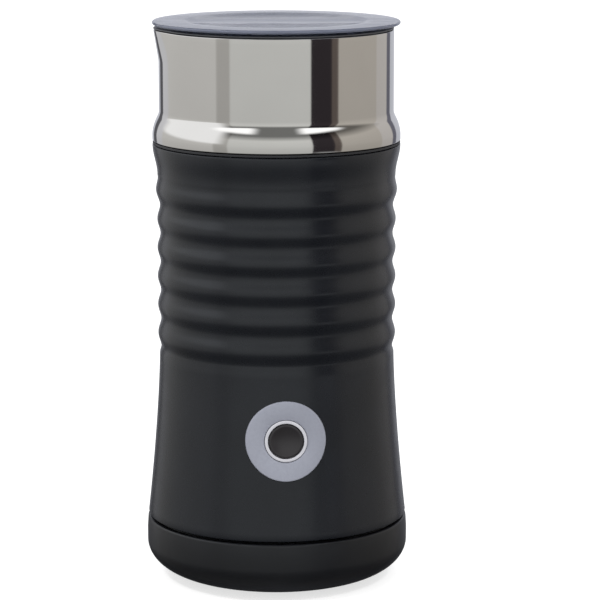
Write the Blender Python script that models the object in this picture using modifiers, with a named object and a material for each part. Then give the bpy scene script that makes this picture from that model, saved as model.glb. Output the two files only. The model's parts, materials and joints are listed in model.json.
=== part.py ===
"""Automatic milk frother: a round power base, a ribbed jug with a steel collar, a
magnet-driven whisk and a clear lid. Front (push button) faces -Y, the spout -X.

Origin: on the common axis, at the underside of the feet. +Z is up.
Profiles and places are written in millimetres and turned into metres by MM.
"""

import math

import bmesh
import bpy
from mathutils import Matrix

MM = 0.001
GAP = 0.3                    # air left between pieces that touch

# ---- facets of a full turn
LARGE_STEPS = 36
MID_STEPS = 24
SMALL_STEPS = 16
TINY_STEPS = 12

# ---- power base
BASE_R = 47.5
BASE_FLOOR_Z = 0.8           # underside of the bowl, above the feet's soles
BASE_BEND_Z = 12.5           # where the bowl's side starts to round under
BASE_BEND_R = 30.4           # edge of the flat underside
BASE_RIM_Z = 21.8
BASE_WALL = 2.4
PLATE_R = 44.8
PLATE_Z = (19.5, 22.5)
CONNECTOR_R = 13.0
CONNECTOR_Z = (3.6, 27.0)
SLOT_FLOOR_Z = 14.0
CONTACT_TOP_Z = 24.0
FOOT_R = 5.0
FOOT_CIRCLE_R = 25.0
FOOT_ANGLES = (-45.0, 75.0, 195.0)
BASE_SCREW_CIRCLE_R = 20.0
BASE_SCREW_ANGLES = (15.0, 135.0, 255.0)
GLAND_Z = 11.0
GLAND_R = 4.2

# ---- jug housing
HOUSING_Z = (22.8, 158.3)
WAIST_R = 42.45              # mean radius of the ribbed stretch
FLARE_TOP_Z = 84.3           # the foot's flare starts below this
FOOT_FLARE = 4.6             # how much the foot is wider than the waist
RIB_FIRST_Z = 89.5           # lowest crest
RIB_PITCH = 10.4
RIB_DEPTH = 0.55             # crest above the mean radius
RIB_COUNT = 6
SHOULDER_R = 44.5
SHOULDER_Z = 147.2           # the shoulder's flare starts above this
HOUSING_WALL = 2.2

# ---- steel collar and vessel
COLLAR_Z = (159.7, 199.1)
NECK_Z = 170.4               # the collar is straight above this
STEEP_Z = 168.0              # where its shoulder slopes most
TURN_Z = 162.0               # its band is straight below this
STEEPEST = 0.526             # slope of the shoulder at STEEP_Z
TURN_SLOPE = 0.08            # slope left at TURN_Z
COLLAR_R = 42.05
COLLAR_WALL = 0.9
VESSEL_R = 38.3
VESSEL_WALL = 1.0
VESSEL_FLOOR_Z = 104.0
VESSEL_LIP_Z = 199.9
VESSEL_LIP_R = 42.0
VESSEL_LIP_THICK = 0.5
SPOUT_START_Z = 188.0
SPOUT_OUT = 1.9
SPOUT_HALF_ANGLE = 24.0

# ---- lid
LID_R = 44.3
LID_TOP_Z = 202.2
LID_UNDER_Z = 200.8
LID_EDGE_R = 0.65            # rounding of the lid's rim
LID_DISH = 0.7               # depth of the flat middle below the rim
LID_SKIRT_R = (34.9, 36.6)
LID_SKIRT_Z = 192.0

# ---- whisk and its drive
PIN_R = 1.6
PIN_TOP_Z = 116.0
BUSH_R = (1.9, 2.6)
HUB_BORE_R = 2.9
HUB_R = 5.0
HUB_TOP_Z = 119.5
WHISK_DISC_R = 17.0
WHISK_DISC_Z = (107.9, 110.5)
COIL_RING_R = 21.2
COIL_R = 3.2
COIL_WIRE_R = 0.55
COIL_TURNS = 18
MAGNET_R = 3.0
MAGNET_CIRCLE_R = 11.0
MOTOR_R = 14.0
MOTOR_Z = (58.0, 92.0)
SHAFT_R = 1.5

# ---- chassis and boards
CHASSIS_R = 38.0
CHASSIS_Z = (92.3, 94.8)
LEG_R = 3.5
LEG_CIRCLE_R = 33.0
LEG_ANGLES = (90.0, 210.0, 330.0)
COVER_Z = (22.9, 25.3)
COVER_R = 44.0
SOCKET_R = (13.6, 15.9)
BOARD_Z = (40.0, 41.6)
BOARD_POSTS = ((-19.0, 20.0), (19.0, 20.0))

# ---- push button
BUTTON_Z = 58.4
BUTTON_R = 6.1
LIGHT_RING_R = (6.45, 7.3)
BEZEL_R = (7.6, 14.2)
BUTTON_FACE_Y = -43.9
SWITCH_Y = (-37.0, -33.6)

LOOKS = {
    "black_gloss": ((0.032, 0.033, 0.037), 0.28, 0.0),
    "black_satin": ((0.022, 0.022, 0.025), 0.45, 0.0),
    "steel": ((0.72, 0.71, 0.69), 0.12, 1.0),
    "silver": ((0.55, 0.57, 0.62), 0.35, 0.8),
    "non_stick": ((0.06, 0.06, 0.065), 0.4, 0.2),
    "clear": ((0.80, 0.86, 0.92), 0.05, 0.0),
    "light_pipe": ((0.85, 0.86, 0.90), 0.3, 0.0),
    "silicone": ((0.12, 0.12, 0.13), 0.7, 0.0),
    "rubber": ((0.02, 0.02, 0.02), 0.8, 0.0),
    "brass": ((0.78, 0.58, 0.25), 0.3, 1.0),
    "zinc": ((0.60, 0.60, 0.62), 0.35, 1.0),
    "aluminium": ((0.70, 0.70, 0.72), 0.4, 1.0),
    "brown": ((0.12, 0.07, 0.04), 0.5, 0.0),
    "board": ((0.02, 0.16, 0.07), 0.5, 0.0),
    "white": ((0.80, 0.80, 0.78), 0.5, 0.0),
    "magnet": ((0.30, 0.30, 0.32), 0.3, 0.9),
    "copper": ((0.70, 0.33, 0.18), 0.35, 1.0),
}


# ---------------------------------------------------------------- helpers

def clear_scene():
    for obj in list(bpy.data.objects):
        bpy.data.objects.remove(obj, do_unlink=True)


def new_collection(name):
    collection = bpy.data.collections.new(name)
    bpy.context.scene.collection.children.link(collection)
    return collection


clear_scene()
PARTS = new_collection("milk_frother")
CUTTERS = new_collection("cutters")


def dress(obj, look):
    colour, roughness, metallic = LOOKS[look]
    material = bpy.data.materials.new(obj.name)
    material.use_nodes = True
    shader = material.node_tree.nodes["Principled BSDF"]
    shader.inputs["Base Color"].default_value = (*colour, 1.0)
    shader.inputs["Roughness"].default_value = roughness
    shader.inputs["Metallic"].default_value = metallic
    obj.data.materials.append(material)
    return obj


def polar(radius, degrees):
    angle = math.radians(degrees)
    return radius * math.cos(angle), radius * math.sin(angle)


def arc(centre, radii, start, end, count):
    """Points of an elliptical arc in the (r, z) plane, angles in degrees from +r."""
    points = []
    for i in range(count + 1):
        angle = math.radians(start + (end - start) * i / count)
        r = centre[0] + radii[0] * math.cos(angle)
        z = centre[1] + radii[1] * math.sin(angle)
        points.append((r, z))
    return points


def ring(inner, outer, low, high):
    """Rectangular section of a ring, its outer side running down."""
    return [(outer, high), (outer, low), (inner, low), (inner, high)]


def rod(radius, low, high):
    """Half section of a solid cylinder."""
    return [(0.0, high), (radius, high), (radius, low), (0.0, low)]


def turned(name, profile, look, steps=MID_STEPS, collection=PARTS):
    """Solid of revolution about local Z. The profile is (r, z) in millimetres."""
    mesh = bpy.data.meshes.new(name)
    shape = bmesh.new()
    verts = [shape.verts.new((r * MM, 0.0, z * MM)) for r, z in profile]
    for first, second in zip(verts, verts[1:]):
        shape.edges.new((first, second))
    if profile[0][0] > 0.0:
        shape.edges.new((verts[-1], verts[0]))
    shape.to_mesh(mesh)
    shape.free()
    obj = bpy.data.objects.new(name, mesh)
    collection.objects.link(obj)
    screw = obj.modifiers.new("turn", "SCREW")
    screw.steps = steps
    screw.render_steps = steps
    screw.use_merge_vertices = True
    screw.merge_threshold = 0.00001
    screw.use_smooth_shade = False
    if look:
        dress(obj, look)
    return obj


def box(name, low, high, look, collection=PARTS):
    mesh = bpy.data.meshes.new(name)
    shape = bmesh.new()
    bmesh.ops.create_cube(shape, size=1.0)
    size = [(b - a) * MM for a, b in zip(low, high)]
    middle = [(a + b) / 2.0 * MM for a, b in zip(low, high)]
    bmesh.ops.scale(shape, vec=size, verts=shape.verts)
    bmesh.ops.translate(shape, vec=middle, verts=shape.verts)
    shape.to_mesh(mesh)
    shape.free()
    obj = bpy.data.objects.new(name, mesh)
    collection.objects.link(obj)
    if look:
        dress(obj, look)
    return obj


def outline(name, points, low, high, look):
    """Flat outline in the XY plane, extruded from low to high along Z."""
    curve = bpy.data.curves.new(name, "CURVE")
    curve.dimensions = "2D"
    curve.fill_mode = "BOTH"
    curve.extrude = (high - low) / 2.0 * MM
    spline = curve.splines.new("POLY")
    spline.points.add(len(points) - 1)
    for point, (x, y) in zip(spline.points, points):
        point.co = (x * MM, y * MM, 0.0, 1.0)
    spline.use_cyclic_u = True
    obj = bpy.data.objects.new(name, curve)
    PARTS.objects.link(obj)
    obj.location.z = (low + high) / 2.0 * MM
    return dress(obj, look)


def wire(name, points, radius, look):
    """Round wire along points in millimetres."""
    curve = bpy.data.curves.new(name, "CURVE")
    curve.dimensions = "3D"
    curve.bevel_depth = radius * MM
    curve.bevel_resolution = 2
    curve.use_fill_caps = True
    spline = curve.splines.new("POLY")
    spline.points.add(len(points) - 1)
    for point, place in zip(spline.points, points):
        point.co = (place[0] * MM, place[1] * MM, place[2] * MM, 1.0)
    obj = bpy.data.objects.new(name, curve)
    PARTS.objects.link(obj)
    return dress(obj, look)


def bake(obj):
    """Turn an object's evaluated shape into its own plain mesh."""
    graph = bpy.context.evaluated_depsgraph_get()
    mesh = bpy.data.meshes.new_from_object(obj.evaluated_get(graph))
    obj.modifiers.clear()
    obj.data = mesh
    return obj


def boolean(obj, other, operation):
    modifier = obj.modifiers.new(operation.lower(), "BOOLEAN")
    modifier.operation = operation
    modifier.object = other
    modifier.solver = "EXACT"
    other.hide_render = True
    other.display_type = "WIRE"
    return obj


def cutter_rod(name, x, y, radius, low, high, steps=TINY_STEPS):
    obj = turned(name, rod(radius, low, high), None, steps, CUTTERS)
    obj.location = (x * MM, y * MM, 0.0)
    return obj


def face_front(obj, x=0.0, z=BUTTON_Z):
    """Turn local +Z to world -Y, with the origin on the button's axis."""
    obj.rotation_euler = (math.radians(90.0), 0.0, 0.0)
    obj.location = (x * MM, 0.0, z * MM)
    return obj


def moving_on(name, place, pieces):
    """Parent the pieces to an empty that stands on their joint's axis."""
    empty = bpy.data.objects.new(name, None)
    PARTS.objects.link(empty)
    empty.location = [value * MM for value in place]
    bpy.context.view_layer.update()
    for piece in pieces:
        piece.parent = empty
        piece.matrix_parent_inverse = Matrix.Translation(-empty.location)


# ---------------------------------------------------------------- shared shapes

def housing_radius(z):
    """Outer radius of the jug's housing at height z, all in millimetres."""
    if z < FLARE_TOP_Z:
        share = (FLARE_TOP_Z - z) / (FLARE_TOP_Z - HOUSING_Z[0])
        return WAIST_R + FOOT_FLARE * share ** 1.5
    if z > SHOULDER_Z:
        share = (z - SHOULDER_Z) / (HOUSING_Z[1] - SHOULDER_Z)
        start = housing_radius(SHOULDER_Z)
        return start + (SHOULDER_R - start) * (1.0 - math.cos(math.pi * share)) / 2.0
    last_crest = RIB_FIRST_Z + RIB_PITCH * (RIB_COUNT - 1)
    rise = max(0.0, (z - last_crest + RIB_PITCH) / (SHOULDER_Z - last_crest + RIB_PITCH))
    wave = math.cos(2.0 * math.pi * (z - RIB_FIRST_Z) / RIB_PITCH)
    return WAIST_R + 0.9 * rise ** 2 + RIB_DEPTH * wave


def housing_outside(low, high, flare_points, rib_points, shoulder_points):
    """Points up the housing's outer side."""
    heights = []
    for i in range(flare_points):
        heights.append(low + (FLARE_TOP_Z - low) * i / flare_points)
    ribs_per_part = RIB_COUNT * rib_points
    for i in range(ribs_per_part):
        heights.append(FLARE_TOP_Z + (SHOULDER_Z - FLARE_TOP_Z) * i / ribs_per_part)
    for i in range(shoulder_points + 1):
        heights.append(SHOULDER_Z + (high - SHOULDER_Z) * i / shoulder_points)
    return [(housing_radius(z), z) for z in heights]


def collar_radius(z):
    """Outer radius of the steel shoulder between TURN_Z and NECK_Z, in millimetres."""
    if z >= STEEP_Z:
        fall = STEEPEST / (NECK_Z - STEEP_Z)
        return COLLAR_R + fall * (NECK_Z - z) ** 2 / 2.0
    below = STEEP_Z - z
    fall = (STEEPEST - TURN_SLOPE) / (STEEP_Z - TURN_Z)
    return collar_radius(STEEP_Z) + STEEPEST * below - fall * below ** 2 / 2.0


def push_spout(obj):
    """Press the pouring lip outwards at -X, growing towards the rim."""
    bake(obj)
    for vertex in obj.data.vertices:
        x, y, z = vertex.co / MM
        radius = math.hypot(x, y)
        height = (z - SPOUT_START_Z) / (VESSEL_LIP_Z - SPOUT_START_Z)
        turn = abs(math.degrees(math.atan2(y, -x))) / SPOUT_HALF_ANGLE
        if height <= 0.0 or turn >= 1.0 or radius < VESSEL_R - 1.0:
            continue
        out = SPOUT_OUT * height * (1.0 + math.cos(math.pi * turn)) / 2.0
        vertex.co.x *= (radius + out) / radius
        vertex.co.y *= (radius + out) / radius
    return obj


def pan_screw(name, x, y, low, shank_top, up=True):
    """Pan-head screw with a round drive recess, head at the bottom unless turned over."""
    profile = [
        (0.0, shank_top), (1.4, shank_top), (1.4, low + 1.5), (2.7, low + 1.5),
        (2.7, low + 0.4), (2.2, low), (1.1, low), (0.8, low + 0.8), (0.0, low + 0.8),
    ]
    obj = turned(name, profile, "zinc", TINY_STEPS)
    if not up:
        obj.rotation_euler = (math.pi, 0.0, 0.0)
    obj.location = (x * MM, y * MM, 0.0)
    return obj


# ---------------------------------------------------------------- power base

def make_base_shell():
    bend = arc((BASE_BEND_R, BASE_BEND_Z), (BASE_R - BASE_BEND_R, BASE_BEND_Z - BASE_FLOOR_Z),
               0.0, -90.0, 7)
    inner = arc((BASE_BEND_R, BASE_BEND_Z),
                (BASE_R - BASE_BEND_R - BASE_WALL, BASE_BEND_Z - BASE_FLOOR_Z - BASE_WALL),
                -90.0, 0.0, 5)
    rim = [(BASE_R - 0.9, BASE_RIM_Z), (BASE_R - 0.4, BASE_RIM_Z - 0.4), (BASE_R, BASE_RIM_Z - 4.5)]
    floor_z = BASE_FLOOR_Z + BASE_WALL
    profile = [(0.0, floor_z)] + inner + [(BASE_R - BASE_WALL, BASE_RIM_Z)] + rim + bend
    profile.append((0.0, BASE_FLOOR_Z))
    shell = turned("base_shell", profile, "black_satin", LARGE_STEPS)
    for i, angle in enumerate(FOOT_ANGLES):
        x, y = polar(FOOT_CIRCLE_R, angle)
        boolean(shell, cutter_rod(f"foot_recess_{i}", x, y, FOOT_R + GAP, -1.0, 1.8, SMALL_STEPS),
                "DIFFERENCE")
    for i, angle in enumerate(BASE_SCREW_ANGLES):
        x, y = polar(BASE_SCREW_CIRCLE_R, angle)
        boolean(shell, cutter_rod(f"screw_sink_{i}", x, y, 3.1, -1.0, 2.7), "DIFFERENCE")
        boolean(shell, cutter_rod(f"screw_way_{i}", x, y, 1.8, 0.0, 5.0), "DIFFERENCE")
    hole = turned("gland_hole", rod(GLAND_R + GAP, 38.0, 55.0), None, SMALL_STEPS, CUTTERS)
    hole.rotation_euler = (math.radians(-90.0), 0.0, 0.0)
    hole.location = (0.0, 0.0, GLAND_Z * MM)
    boolean(shell, hole, "DIFFERENCE")


def make_feet_and_base_screws():
    for i, angle in enumerate(FOOT_ANGLES, start=1):
        profile = [(0.0, 1.5), (FOOT_R, 1.5), (FOOT_R, 0.4), (FOOT_R - 0.5, 0.0), (0.0, 0.0)]
        foot = turned(f"base_foot_{i}", profile, "rubber", SMALL_STEPS)
        x, y = polar(FOOT_CIRCLE_R, angle)
        foot.location = (x * MM, y * MM, 0.0)
    for i, angle in enumerate(BASE_SCREW_ANGLES, start=1):
        x, y = polar(BASE_SCREW_CIRCLE_R, angle)
        pan_screw(f"base_screw_{i}", x, y, 0.9, 12.0)


def make_base_top_plate():
    low, high = PLATE_Z
    profile = [
        (CONNECTOR_R + GAP, high), (PLATE_R - 1.0, high), (PLATE_R, high - 0.6),
        (PLATE_R, low), (CONNECTOR_R + GAP, low),
    ]
    plate = turned("base_top_plate", profile, "black_satin", LARGE_STEPS)
    for i, angle in enumerate(BASE_SCREW_ANGLES):
        x, y = polar(BASE_SCREW_CIRCLE_R, angle)
        post = cutter_rod(f"plate_post_{i}", x, y, 3.4, 3.6, low + 1.0)
        boolean(plate, post, "UNION")
        boolean(plate, cutter_rod(f"plate_hole_{i}", x, y, 1.7, 3.0, 13.0), "DIFFERENCE")


def make_base_connector():
    low, high = CONNECTOR_Z
    profile = [
        (0.0, 12.0), (2.2, 12.0), (2.2, high), (5.2, high), (5.2, SLOT_FLOOR_Z),
        (7.6, SLOT_FLOOR_Z), (7.6, high), (9.3, high), (9.3, SLOT_FLOOR_Z),
        (11.4, SLOT_FLOOR_Z), (11.4, high), (CONNECTOR_R - 0.5, high),
        (CONNECTOR_R, high - 0.5), (CONNECTOR_R, low), (0.0, low),
    ]
    turned("base_connector", profile, "brown")
    contact_low = SLOT_FLOOR_Z + GAP
    turned("base_contact_centre", ring(1.5, 1.9, 12.3, 20.0), "brass", SMALL_STEPS)
    turned("base_contact_inner", ring(6.9, 7.3, contact_low, CONTACT_TOP_Z), "brass", SMALL_STEPS + 4)
    turned("base_contact_outer", ring(10.7, 11.1, contact_low, CONTACT_TOP_Z), "brass", MID_STEPS)


def make_cord_gland():
    profile = [
        (1.6, 47.2), (3.0, 47.2), (GLAND_R, 46.6), (GLAND_R, 44.0), (GLAND_R, 40.0), (1.6, 40.0),
    ]
    gland = turned("cord_gland", profile, "rubber", SMALL_STEPS)
    gland.rotation_euler = (math.radians(-90.0), 0.0, 0.0)
    gland.location = (0.0, 0.0, GLAND_Z * MM)


# ---------------------------------------------------------------- jug's half of the connector

def make_jug_connector():
    inner, outer = SOCKET_R
    profile = [(0.0, 31.5), (outer, 31.5), (outer, COVER_Z[0]), (inner, COVER_Z[0]),
               (inner, 28.3), (0.0, 28.3)]
    socket = turned("jug_socket", profile, "brown")
    pin = turned("live_pin", [(0.0, 28.0), (1.2, 28.0), (1.2, 14.6), (0.6, 14.0), (0.0, 14.0)],
                 "brass", TINY_STEPS)
    neutral = turned("neutral_ring", ring(5.8, 6.3, 17.0, 28.0), "brass", SMALL_STEPS + 4)
    earth = turned("earth_ring", ring(9.7, 10.2, 17.0, 28.0), "brass", MID_STEPS)
    moving_on("jug_lift_axis", (0.0, 0.0, COVER_Z[0]), [socket, pin, neutral, earth])


# ---------------------------------------------------------------- jug

def make_housing():
    low, high = HOUSING_Z
    outside = housing_outside(low + 0.8, high - 0.6, 8, 4, 5)
    outside = [(outside[0][0] - 0.5, low)] + outside + [(SHOULDER_R - 0.6, high)]
    inside = [
        (housing_radius(low) - HOUSING_WALL, low),
        (housing_radius(45.0) - HOUSING_WALL, 45.0),
        (housing_radius(66.0) - HOUSING_WALL, 66.0),
        (40.0, 88.0),
        (40.0, SHOULDER_Z),
        (SHOULDER_R - HOUSING_WALL, high),
    ]
    housing = turned("housing", outside[::-1] + inside, "black_gloss", LARGE_STEPS)
    hole = face_front(turned("bezel_hole", rod(BEZEL_R[1] + GAP, 30.0, 60.0), None, MID_STEPS, CUTTERS))
    boolean(housing, hole, "DIFFERENCE")
    return housing


def make_bottom_cover():
    low, high = COVER_Z
    cover = turned("bottom_cover", ring(SOCKET_R[1] + GAP, COVER_R, low, high), "black_satin",
                   LARGE_STEPS)
    for i, (x, y) in enumerate(BOARD_POSTS):
        post = cutter_rod(f"board_post_{i}", x, y, 3.0, high - 1.0, BOARD_Z[0] - GAP)
        boolean(cover, post, "UNION")
        hole = cutter_rod(f"board_post_hole_{i}", x, y, 1.7, 33.0, 50.0)
        boolean(cover, hole, "DIFFERENCE")
    for i, angle in enumerate(LEG_ANGLES):
        x, y = polar(LEG_CIRCLE_R, angle)
        boolean(cover, cutter_rod(f"cover_sink_{i}", x, y, 3.1, 20.0, 24.7), "DIFFERENCE")
        boolean(cover, cutter_rod(f"cover_way_{i}", x, y, 1.8, 20.0, 30.0), "DIFFERENCE")
    screws = []
    for i, angle in enumerate(LEG_ANGLES, start=1):
        x, y = polar(LEG_CIRCLE_R, angle)
        screws.append(pan_screw(f"cover_screw_{i}", x, y, low, 36.0))
    return [cover] + screws


def make_collar_and_vessel():
    low, high = COLLAR_Z
    wall = COLLAR_WALL
    outside = [(COLLAR_R, high), (COLLAR_R, 193.5), (COLLAR_R, SPOUT_START_Z)]
    outside += [(collar_radius(z), z) for z in (NECK_Z, 169.6, 168.8, STEEP_Z, 166.5, 165.0, 163.5)]
    outside += [(SHOULDER_R, TURN_Z), (SHOULDER_R, low + 0.3), (SHOULDER_R - 0.3, low)]
    inside = [
        (SHOULDER_R - wall, low), (SHOULDER_R - wall, TURN_Z - 0.4), (COLLAR_R - wall, NECK_Z - 0.8),
        (COLLAR_R - wall, SPOUT_START_Z), (COLLAR_R - wall, 193.5), (COLLAR_R - wall, high),
    ]
    collar = push_spout(turned("steel_collar", outside + inside, "steel", LARGE_STEPS))

    outer = VESSEL_R + VESSEL_WALL
    bend = 7.0
    inner_bend = arc((VESSEL_R - bend, VESSEL_FLOOR_Z + bend), (bend, bend), -90.0, 0.0, 4)
    outer_bend = arc((VESSEL_R - bend, VESSEL_FLOOR_Z + bend),
                     (bend + VESSEL_WALL, bend + VESSEL_WALL), 0.0, -90.0, 4)
    lip = [
        (VESSEL_R, SPOUT_START_Z), (VESSEL_R, 195.5), (VESSEL_R + 0.6, VESSEL_LIP_Z),
        (VESSEL_LIP_R, VESSEL_LIP_Z), (VESSEL_LIP_R, VESSEL_LIP_Z - VESSEL_LIP_THICK),
        (outer, VESSEL_LIP_Z - VESSEL_LIP_THICK), (outer, 193.5), (outer, SPOUT_START_Z),
    ]
    profile = [(0.0, VESSEL_FLOOR_Z)] + inner_bend + lip + outer_bend
    profile.append((0.0, VESSEL_FLOOR_Z - VESSEL_WALL))
    vessel = push_spout(turned("vessel", profile, "non_stick", LARGE_STEPS))

    gasket = turned("collar_gasket", ring(42.8, SHOULDER_R - 0.1, HOUSING_Z[1] + GAP, low - GAP), "silicone",
                    LARGE_STEPS)
    pin_foot = VESSEL_FLOOR_Z + GAP
    pin_profile = [(0.0, PIN_TOP_Z), (PIN_R - 0.6, PIN_TOP_Z), (PIN_R, PIN_TOP_Z - 0.8),
                   (PIN_R, pin_foot), (0.0, pin_foot)]
    pin = turned("whisk_pin", pin_profile, "zinc", TINY_STEPS)
    return [collar, vessel, gasket, pin]


def make_heater():
    heater = turned("heater_plate", ring(20.0, 33.0, 99.6, 102.6), "aluminium")
    x, y = polar(27.0, 45.0)
    profile = [(0.0, 99.3), (6.5, 99.3), (6.5, 97.6), (5.2, 97.6), (5.2, 95.1), (0.0, 95.1)]
    thermostat = turned("thermostat", profile, "zinc", SMALL_STEPS)
    thermostat.location = (x * MM, y * MM, 0.0)
    fuse = turned("thermal_fuse", rod(1.5, -6.0, 6.0), "zinc", TINY_STEPS)
    fuse.rotation_euler = (math.radians(90.0), 0.0, 0.0)
    fuse.location = (-26.0 * MM, 4.0 * MM, 97.5 * MM)
    return [heater, thermostat, fuse]


def make_chassis():
    low, high = CHASSIS_Z
    profile = [
        (5.5, high), (CHASSIS_R - 2.0, high), (CHASSIS_R - 2.0, 99.0), (CHASSIS_R, 99.0),
        (CHASSIS_R, low), (5.5, low),
    ]
    chassis = turned("chassis", profile, "white", LARGE_STEPS)
    for i, angle in enumerate(LEG_ANGLES):
        x, y = polar(LEG_CIRCLE_R, angle)
        boolean(chassis, cutter_rod(f"leg_{i}", x, y, LEG_R, COVER_Z[1] + GAP, low + 1.0), "UNION")
        boolean(chassis, cutter_rod(f"leg_hole_{i}", x, y, 1.7, 20.0, 37.0), "DIFFERENCE")
    return [chassis]


def make_motor():
    low, high = MOTOR_Z
    can_profile = [
        (2.2, high), (MOTOR_R - 1.0, high), (MOTOR_R, high - 1.0), (MOTOR_R, low),
        (MOTOR_R - 1.0, low), (MOTOR_R - 1.0, high - 1.0), (2.2, high - 1.0),
    ]
    can = turned("motor_can", can_profile, "zinc")
    stator = turned("stator_magnet", ring(10.6, 12.7, low + 6.0, high - 6.0), "magnet")
    cap_profile = [
        (0.0, 57.7), (MOTOR_R, 57.7), (MOTOR_R, 56.2), (4.0, 56.2), (4.0, 54.6), (0.0, 54.6),
    ]
    end_cap = turned("motor_end_cap", cap_profile, "white")

    shaft = turned("motor_shaft", rod(SHAFT_R, 58.2, 99.2), "zinc", TINY_STEPS)
    rotor = turned("motor_rotor", ring(SHAFT_R + GAP, 10.0, 66.0, 85.0), "copper", SMALL_STEPS + 4)
    carrier = turned("magnet_carrier", ring(SHAFT_R + GAP, 17.5, 97.2, 100.2), "white")
    magnets = []
    for number, side in ((1, -1), (2, 1)):
        x = side * MAGNET_CIRCLE_R
        pocket = cutter_rod(f"carrier_pocket_{number}", x, 0.0, MAGNET_R + GAP, 98.0, 105.0)
        boolean(carrier, pocket, "DIFFERENCE")
        magnet = turned(f"drive_magnet_{number}", rod(MAGNET_R, 98.3, 101.3), "magnet", TINY_STEPS)
        magnet.location.x = x * MM
        magnets.append(magnet)
    moving_on("drive_axis", (0.0, 0.0, 75.0), [shaft, rotor, carrier] + magnets)
    return [can, stator, end_cap]


def make_control_board():
    low, high = BOARD_Z
    board = box("control_board", (-24.0, -12.0, low), (24.0, 27.0, high), "board")
    screws = []
    for number, (x, y) in enumerate(BOARD_POSTS, start=1):
        boolean(board, cutter_rod(f"board_hole_{number}", x, y, 1.8, 35.0, 45.0), "DIFFERENCE")
        screws.append(pan_screw(f"board_screw_{number}", x, -y, -high - GAP - 1.5, -34.0, up=False))
    above = high + GAP
    relay = box("relay", (-8.0, 10.0, above), (8.0, 22.0, above + 10.0), "white")
    capacitor = turned("capacitor", rod(4.5, above, above + 11.0), "black_satin", SMALL_STEPS)
    capacitor.location = (-15.0 * MM, -3.0 * MM, 0.0)
    return [board, relay, capacitor] + screws


# ---------------------------------------------------------------- push button

def make_button_parts():
    """Bezel, light ring, button, spring, switch and the board behind them."""
    bezel = face_front(turned("button_bezel", ring(BEZEL_R[0], BEZEL_R[1], 38.0, 50.0), "silver"))
    low, high = BUTTON_Z - BEZEL_R[1] - 3.0, BUTTON_Z + BEZEL_R[1] + 3.0
    heights = [low + (high - low) * i / 5 for i in range(6)]
    outside = [(housing_radius(z) + 0.35, z) for z in heights[::-1]]
    inside = [(housing_radius(z) - 2.2, z) for z in heights]
    skin = turned("bezel_skin", outside + inside, None, LARGE_STEPS * 2, CUTTERS)
    boolean(bezel, skin, "INTERSECT")

    inner, outer = LIGHT_RING_R
    pipe_profile = [(inner, 44.0), (outer - 0.3, 44.0), (outer, 43.7), (outer, 37.0), (inner, 37.0)]
    pipe = face_front(turned("light_ring", pipe_profile, "light_pipe", MID_STEPS))

    face = -BUTTON_FACE_Y
    dish = [(0.0, face - 1.2), (2.4, face - 0.95), (4.4, face - 0.35), (BUTTON_R - 0.7, face)]
    rest = [(BUTTON_R - 0.2, face - 0.15), (BUTTON_R, face - 0.6), (BUTTON_R, face - 2.7),
            (2.0, face - 2.7), (2.0, 38.4), (0.0, 38.4)]
    button = face_front(turned("push_button", dish + rest, "black_gloss", MID_STEPS))

    spring_points = []
    turns, per_turn = 3, 8
    front, back = face - 2.7 - GAP - 0.3, 37.0 + GAP + 0.3
    for i in range(turns * per_turn + 1):
        angle = 2.0 * math.pi * i / per_turn
        out = back + (front - back) * i / (turns * per_turn)
        spring_points.append((3.2 * math.cos(angle), -out, BUTTON_Z + 3.2 * math.sin(angle)))
    spring = wire("button_spring", spring_points, 0.25, "zinc")

    near, far = SWITCH_Y
    body = box("switch_body", (-4.0, near, BUTTON_Z - 4.0), (4.0, far, BUTTON_Z + 4.0), "black_satin")
    socket = face_front(turned("plunger_hole", rod(1.8, 34.4, 45.0), None, TINY_STEPS, CUTTERS))
    boolean(body, socket, "DIFFERENCE")
    plunger = face_front(turned("switch_plunger", rod(1.5, 35.9, 38.1), "white", TINY_STEPS))

    board = box("button_board", (-12.0, -33.3, BUTTON_Z - 9.0), (12.0, -31.7, BUTTON_Z + 9.0), "board")
    leds = []
    for number, side in ((1, -1), (2, 1)):
        led = turned(f"led_{number}", rod(1.1, 33.6, 36.4), "light_pipe", TINY_STEPS)
        leds.append(face_front(led, x=side * 6.8))
    arm_x, arm_in, arm_y = 17.0, 14.6, -36.6
    back_y = (-31.4, -29.2)
    points = [
        (-arm_x, arm_y), (-arm_in, arm_y), (-arm_in, back_y[0]), (arm_in, back_y[0]),
        (arm_in, arm_y), (arm_x, arm_y), (arm_x, back_y[1]), (-arm_x, back_y[1]),
    ]
    bracket = outline("button_bracket", points, BUTTON_Z - 9.0, BUTTON_Z + 9.0, "white")

    moving_on("button_axis", (0.0, BUTTON_FACE_Y, BUTTON_Z), [button])
    moving_on("plunger_axis", (0.0, -38.1, BUTTON_Z), [plunger])
    return [bezel, pipe, spring, body, board, bracket] + leds


# ---------------------------------------------------------------- whisk

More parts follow.
